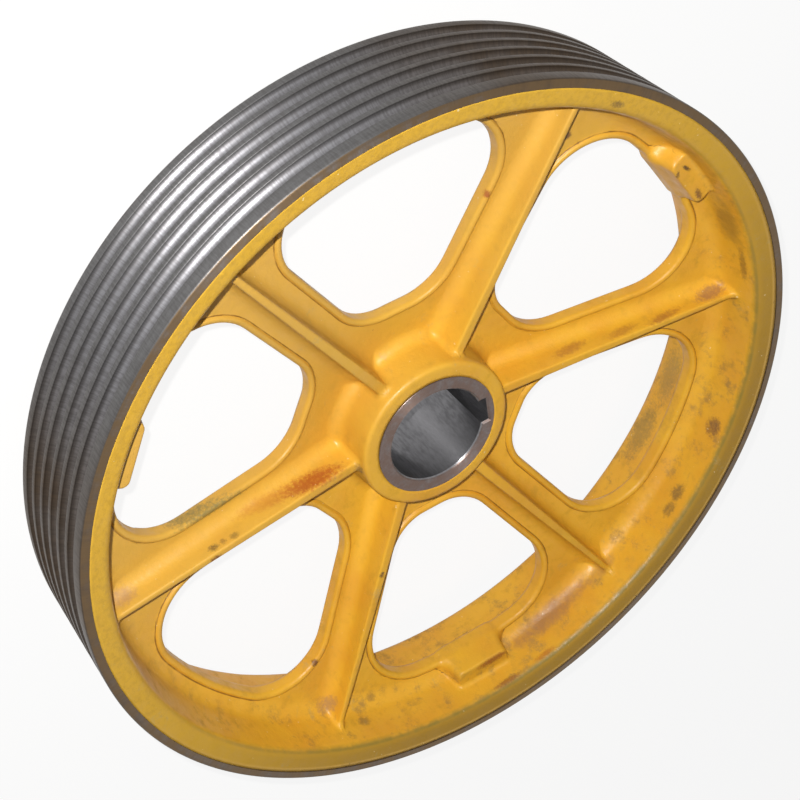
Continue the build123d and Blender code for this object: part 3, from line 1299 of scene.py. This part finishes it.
    def material(self, sizes: SheaveSizes) -> bpy.types.Material:
        """Make the material.

        Args:
            sizes: The sheave's sizes, which place the face, the lip and the pockets.

        Returns:
            The material.
        """
        t = ShaderTree(Surface.ENAMEL, self.paint)
        film = t.patches(self.film_size, 4, 0.55)
        brushed = t.patches(self.brush_size, 4, 0.6, shift=31)
        specks = {grain: t.patches(grain.value, 4, 0.7, shift=7.0 * grain.value) for grain in Grain}
        t.lay(self.paint_warm, t.step(Step.SPAN, film, 0.36, 0.66))
        t.lay(self.paint_deep, t.step(Step.SPAN, brushed, 0.5, 0.75), 0.5)
        across = t.towards(self.shaded_direction)
        # Painted shade grows from 0 to 1 towards the shaded direction.
        shaded_side = t.step(Step.SPAN, across, -150, 230)
        # Painted light: the paint turns paler away from the shaded direction, towards the lamp.
        t.lay(self.lit_side_paint, t.step(Step.SPAN, across, 40, -190, 0.0, 0.85))

        mouth, ring = sizes.mouth_radius, sizes.cast_rim_radius
        on_face = t.step(Step.SPAN, t.radius, mouth - 0.3, mouth + 1.0)
        mottle = t.step(Step.SPAN, t.patches(self.mottle_size, 5, 0.7, shift=12), 0.42, 0.66, 0.0, 0.35)
        # The rim's face: thin green paint, mottled at random, and darker towards the shaded side as painted
        # shade.
        face = t.step(Step.LAY, t.step(Step.LARGER, mottle, shaded_side), linear(self.face_paint),
                      linear(self.face_mottle_and_shade))
        t.lay(face, on_face, 0.9)
        # Painted shade on the lip: darker and olive towards the shaded side, broken up by coarse specks.
        t.lay(self.lip_shade, t.step(Step.SPAN, t.z, sizes.rim_front - 11, sizes.rim_front - 6),
              t.step(Step.SPAN, t.radius, mouth + 2.6, mouth + 1.2), shaded_side,
              t.step(Step.SPAN, specks[Grain.COARSE], 0.33, 0.58, 0.3, 1.0), 0.75)
        # Painted highlight along the outer edge of the rim's face, on the shaded side.
        t.lay(self.edge_highlight, shaded_side, t.step(Step.SPAN, t.radius, ring - 4.0, ring - 2.2), 0.8)

        # Dust and painted shade in the pockets by the rim's wall, heavier towards the shaded side.
        dust_and_shade = t.product(
            t.step(Step.SPAN, t.radius, sizes.window_outer_radius - 12, sizes.rim_root_radius),
            t.step(Step.LESS, 1.0, on_face),
            t.step(Step.SPAN, t.patches(self.streak_size, 6, 0.72, shift=52), 0.5, 0.72),
            t.step(Step.SPAN, shaded_side, 0, 1, 0.4, 0.75))
        t.lay(self.pocket_dust_and_shade, dust_and_shade)
        for stain in self.stains:
            t.lay(stain.colour, t.stained(stain, specks[stain.grain]), stain.strength)
        # Dirt and painted shade darken the hollowed creases.
        crease = add_node(t.tree, "ShaderNodeAttribute", attribute_name="crease").outputs["Fac"]
        t.lay(self.crease_dirt_and_shade, t.step(Step.SPAN, crease, 0.14, 0.45),
              t.step(Step.SPAN, brushed, 0.25, 0.6, 0.4, 0.9))
        chips = t.step(Step.SPAN, t.patches(self.chip_size, 6, 0.75, shift=140), 0.70, 0.725)
        t.lay(self.rust, chips, 0.8)
        t.lay(self.speck, t.step(Step.SPAN, t.patches(self.speck_size, 2, 0.5, shift=171), 0.745, 0.77), 0.5)
        scuffs = t.patches(self.scuff_size, 7, 0.8, shift=201, stretch=(1, 1, 0.5))
        t.lay(self.scuff, t.step(Step.SPAN, scuffs, 0.60, 0.68), 0.35)

        gloss = t.step(Step.SPAN, brushed, 0.3, 0.7, self.roughness - 0.06, self.roughness + 0.12)
        return t.finish(
            Roughness=t.step(Step.PLUS, gloss, t.product(dust_and_shade, 0.35)),
            Normal=t.relief((film, 1.4), (t.patches(self.sand_grain, 3, 0.6, shift=5), 0.32),
                            (specks[Grain.FINE], 0.12), (t.step(Step.LESS, 1.0, chips), 0.25)),
            Specular_IOR_Level=self.sheen)


@dataclass(frozen=True)
class TurnedCastIronRim:
    """Grey cast iron, turned on a lathe, with a brown tint that grows away from the lamp's highlight: partly
    a dull brown film, partly a painted brown reflection.

    Fine tool marks run round the rim, so highlights spread across them. The side rings are browner. Painted
    shade darkens each groove's wall.
    """

    metal: str = "706f6f"
    rope_polished: str = "868588"
    groove_shade_and_marks: str = "3f3b38"
    brown_film_and_reflection: str = "50402f"
    ring_brown: str = "6c5840"
    speck: str = "3c2c22"
    roughness: float = 0.45
    # The tool leaves a mark every 0.25 mm or so. Marks and chatter are drawn coarser, so that they show.
    mark_pitch: float = 2.4
    chatter_pitch: float = 1.5
    # A brown film clouds the rim over a hand's breadth, and rust pits it in specks of about 2 mm.
    film_size: float = 70.0
    ring_film_size: float = 12.0
    speck_size: float = 2.2
    # Towards this direction stands the lamp's highlight; the brown film and the painted brown reflection grow
    # away from it.
    highlight_direction: tuple[float, float] = (0.545, 0.839)

    def material(self, sizes: SheaveSizes) -> bpy.types.Material:
        """Make the material.

        Args:
            sizes: The sheave's sizes, which place the grooves and the side rings.

        Returns:
            The material.
        """
        t = ShaderTree(Surface.GROOVED, self.metal)
        film = t.patches(self.film_size, 4, 0.6)
        marks = t.patches(self.mark_pitch, 2, 0.5, shift=8, stretch=(0.012, 0.012, 1.0))
        chatter = t.patches(self.chatter_pitch, 3, 0.6, space=t.around_axis(sizes.rim_radius, 0.12))
        top, bottom = sizes.rim_radius, sizes.rim_radius - sizes.groove_depth
        t.lay(self.rope_polished, t.step(Step.SPAN, t.radius, top - 0.2, top - 1.8))
        # Painted shade down each groove's wall.
        t.lay(self.groove_shade_and_marks, t.step(Step.SPAN, t.radius, top - 0.2, top - 0.8),
              t.step(Step.SPAN, t.radius, bottom + 1.4, bottom + 3.2), 0.5)
        # Brown film and painted brown reflection, away from the lamp's highlight.
        toward_highlight = t.towards(self.highlight_direction)
        t.lay(self.brown_film_and_reflection, t.step(Step.SPAN, toward_highlight, 288, 215),
              t.step(Step.SPAN, film, 0.35, 0.6, 0.65, 0.9), t.step(Step.SPAN, toward_highlight, 0, 180, 0.6, 1.0))
        # The same dark iron draws the tool marks and the chatter.
        t.lay(self.groove_shade_and_marks, t.step(Step.SPAN, marks, 0.35, 0.7, 0.0, 0.2))
        t.lay(self.groove_shade_and_marks, t.step(Step.SPAN, chatter, 0.35, 0.65, 0.0, 0.35))
        half_width = sizes.rim_width / 2
        from_middle = t.from_height(sizes.rim_front - half_width)
        t.lay(self.ring_brown, t.step(Step.SPAN, from_middle, half_width - 0.6, half_width - 0.1),
              t.step(Step.SPAN, t.patches(self.ring_film_size, 4, 0.6, shift=44), 0.25, 0.6, 0.4, 0.95))
        t.lay(self.speck, t.step(Step.SPAN, t.patches(self.speck_size, 3, 0.6, shift=90), 0.73, 0.76), 0.6)
        rough = t.step(Step.SPAN, chatter, 0.3, 0.7, self.roughness - 0.04, self.roughness + 0.04)
        return t.finish_turned(Roughness=rough, Normal=t.relief((marks, 0.08), (chatter, 0.03)),
                               Anisotropic=0.58)


@dataclass(frozen=True)
class BoredCastIronHub:
    """Grey cast iron, bored and faced: bright where the shaft sat, brown-purple on the hub's face.

    The boring tool's marks run round the bore, so a lamp draws a bright line along it.
    """

    metal: str = "858486"
    metal_dull: str = "5e5d5e"
    face_brown: str = "74625a"
    roughness: float = 0.3
    # The boring tool's marks are about 0.2 mm apart, and are drawn coarser, so that they show.
    mark_pitch: float = 2.0
    facing_pitch: float = 1.6
    film_size: float = 2.2
    rub_size: float = 7.0

    def material(self, sizes: SheaveSizes) -> bpy.types.Material:
        """Make the material.

        Args:
            sizes: The sheave's sizes, which place the hub's end faces.

        Returns:
            The material.
        """
        t = ShaderTree(Surface.BORED, self.metal)
        film = t.step(Step.SPAN, t.patches(self.film_size, 4, 0.6, stretch=(1, 1, 0.25)), 0.3, 0.75)
        half_length, bore = sizes.hub_length / 2, sizes.bore_radius
        on_face = t.product(
            t.step(Step.SPAN, t.from_height(half_length), half_length - 1.8, half_length - 1.2),
            t.step(Step.SPAN, t.radius, bore + 0.4, bore + 1.2))
        t.lay(self.metal_dull, film, 0.5)
        t.lay(self.face_brown, on_face,
              t.step(Step.SPAN, t.patches(self.rub_size, 4, 0.65, shift=19), 0.3, 0.6, 0.55, 1.0))
        rough = t.step(Step.PLUS, t.step(Step.SPAN, film, 0, 1, self.roughness, self.roughness + 0.1),
                       t.product(on_face, 0.12))
        marks = t.patches(self.mark_pitch, 2, 0.5, shift=8, stretch=(0.02, 0.02, 1.0))
        faced = t.patches(self.facing_pitch, 3, 0.6, shift=24)
        return t.finish_turned(Roughness=rough, Normal=t.relief((marks, 0.04), (faced, 0.05)),
                               Anisotropic=0.8)


# ---------------------------------------------------------------- studio


@dataclass(frozen=True)
class Lamp:
    """An area lamp: direction it stands in, distance, size in metres, power and colour."""

    azimuth: float
    elevation: float
    distance: float
    size: float
    power: float
    colour: str = "ffffff"


@dataclass
class Studio:
    """Floor, backdrop, lamps and camera."""

    aim: tuple[float, float, float] = (0.02527, 0.03912, 0.07)
    camera_distance: float = 1.1257
    camera_azimuth: float = 55.0
    camera_elevation: float = 42.80
    camera_roll: float = 135.378
    focal_length: float = 69.011
    sensor_width: float = 36.0
    sky: str = "b6b2ac"
    sky_strength: float = 0.18
    floor_colour: str = "e6e4e0"
    floor_half_width: float = 6.0
    floor_gap: float = 0.0005
    shadow_share: float = 0.11
    # One small hard lamp beside the camera, and two broad soft ones above.
    lamps: tuple[Lamp, ...] = (
        Lamp(55.0, 40.5, 1.128, 0.014, 17.6),
        Lamp(75, 70, 2.6, 1.6, 2.8),
        Lamp(170, 55, 2.6, 1.6, 2.0),
    )

    def direction(self, azimuth: float, elevation: float) -> Vector:
        """Unit vector towards an azimuth from +X and an elevation, in degrees."""
        a, e = math.radians(azimuth), math.radians(elevation)
        return Vector((math.cos(a) * math.cos(e), math.sin(a) * math.cos(e), math.sin(e)))

    def place_camera(self) -> None:
        """Create the camera and make it the scene's."""
        back = self.direction(self.camera_azimuth, self.camera_elevation)
        level = Vector((0, 0, 1)).cross(back).normalized()
        upright = back.cross(level)
        roll = math.radians(self.camera_roll)
        right = level * math.cos(roll) + upright * math.sin(roll)
        up = back.cross(right)
        camera = bpy.data.cameras.new("camera")
        camera.lens = self.focal_length
        camera.sensor_width = self.sensor_width
        camera.clip_start = 0.01
        camera.clip_end = 100
        holder = bpy.data.objects.new("camera", camera)
        turn = Matrix((right, up, back)).transposed().to_4x4()
        holder.matrix_world = Matrix.Translation(Vector(self.aim) + back * self.camera_distance) @ turn
        bpy.context.scene.collection.objects.link(holder)
        bpy.context.scene.camera = holder

    def place_lamps(self) -> None:
        """Create the area lamps, all facing the object."""
        for number, lamp in enumerate(self.lamps):
            light = bpy.data.lights.new(f"lamp_{number}", "AREA")
            light.shape = "DISK"
            light.size = lamp.size
            light.energy = lamp.power
            light.color = linear(lamp.colour)[:3]
            holder = bpy.data.objects.new(light.name, light)
            away = self.direction(lamp.azimuth, lamp.elevation)
            holder.location = Vector(self.aim) + away * lamp.distance
            holder.rotation_euler = away.to_track_quat("Z", "Y").to_euler()
            bpy.context.scene.collection.objects.link(holder)

    def seen_share(self, tree: bpy.types.NodeTree) -> bpy.types.NodeSocket:
        """Pick out the rays that look at the backdrop itself or mirror it.

        Args:
            tree: The backdrop's node tree.

        Returns:
            1 for such rays, otherwise 0.
        """
        path = add_node(tree, "ShaderNodeLightPath").outputs
        mirrored = add_node(tree, "ShaderNodeMath",
                            {0: path["Is Glossy Ray"], 1: path["Is Transmission Ray"]}, operation="MAXIMUM")
        seen = add_node(tree, "ShaderNodeMath", {0: path["Is Camera Ray"], 1: mirrored.outputs[0]},
                        operation="MAXIMUM")
        return seen.outputs[0]

    def make_world(self) -> None:
        """A soft grey sky for the light, and a plain white backdrop behind the object."""
        world = bpy.data.worlds.new("studio")
        world.use_nodes = True
        tree = world.node_tree
        tree.nodes.clear()
        light = add_node(tree, "ShaderNodeBackground", {"Color": linear(self.sky),
                                                        "Strength": self.sky_strength})
        white = add_node(tree, "ShaderNodeBackground", {"Color": (1, 1, 1, 1), "Strength": 1.0})
        mix = add_node(tree, "ShaderNodeMixShader",
                       {0: self.seen_share(tree), 1: light.outputs[0], 2: white.outputs[0]})
        add_node(tree, "ShaderNodeOutputWorld", {"Surface": mix.outputs[0]})
        bpy.context.scene.world = world

    def make_floor(self) -> None:
        """A plain pale floor that keeps the object's shadow, a little below the casting."""
        signs = ((-1, -1, 0), (1, -1, 0), (1, 1, 0), (-1, 1, 0))
        corners = np.array(signs) * self.floor_half_width / MM
        floor = new_piece("floor", corners, [(0, 1, 2, 3)])
        floor.location.z = -self.floor_gap
        material = bpy.data.materials.new("floor_paper")
        material.use_nodes = True
        tree = material.node_tree
        tree.nodes.clear()
        paper = add_node(tree, "ShaderNodeBsdfPrincipled", {
            "Base Color": linear(self.floor_colour),
            "Roughness": 0.9,
            "Specular IOR Level": 0.1,
        })
        glow = add_node(tree, "ShaderNodeEmission", {"Color": (1, 1, 1, 1), "Strength": 1.0})
        share = add_node(tree, "ShaderNodeMath", {0: self.seen_share(tree), 1: 1 - self.shadow_share},
                         operation="MULTIPLY")
        mix = add_node(tree, "ShaderNodeMixShader",
                       {0: share.outputs[0], 1: paper.outputs[0], 2: glow.outputs[0]})
        add_node(tree, "ShaderNodeOutputMaterial", {"Surface": mix.outputs[0]})
        floor.data.materials.append(material)

    def build(self) -> None:
        """Make the studio."""
        self.place_camera()
        self.place_lamps()
        self.make_world()
        self.make_floor()
        bpy.context.scene.view_settings.view_transform = "Standard"


def main() -> None:
    """Build the sheave's pieces, dress them and set up the studio."""
    logging.basicConfig(level=logging.INFO, format="%(name)s: %(message)s")
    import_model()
    low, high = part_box(NODE)
    sizes = SheaveSizes(rim_radius=(high[0] - low[0]) / 2 / MM, rim_front=high[2] / MM)

    pieces = [
        EnamelledCasting(sizes).build(EnamelOnCastIron().material(sizes)),
        TurnedRim(sizes).build(TurnedCastIronRim().material(sizes)),
        TurnedHub(sizes).build(BoredCastIronHub().material(sizes)),
    ]
    for piece in pieces:
        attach(piece, "root")
        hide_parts(NODE)
        log.info("%s stands for %s", piece.name, NODE)

    Studio().build()


if __name__ == "__main__":
    main()
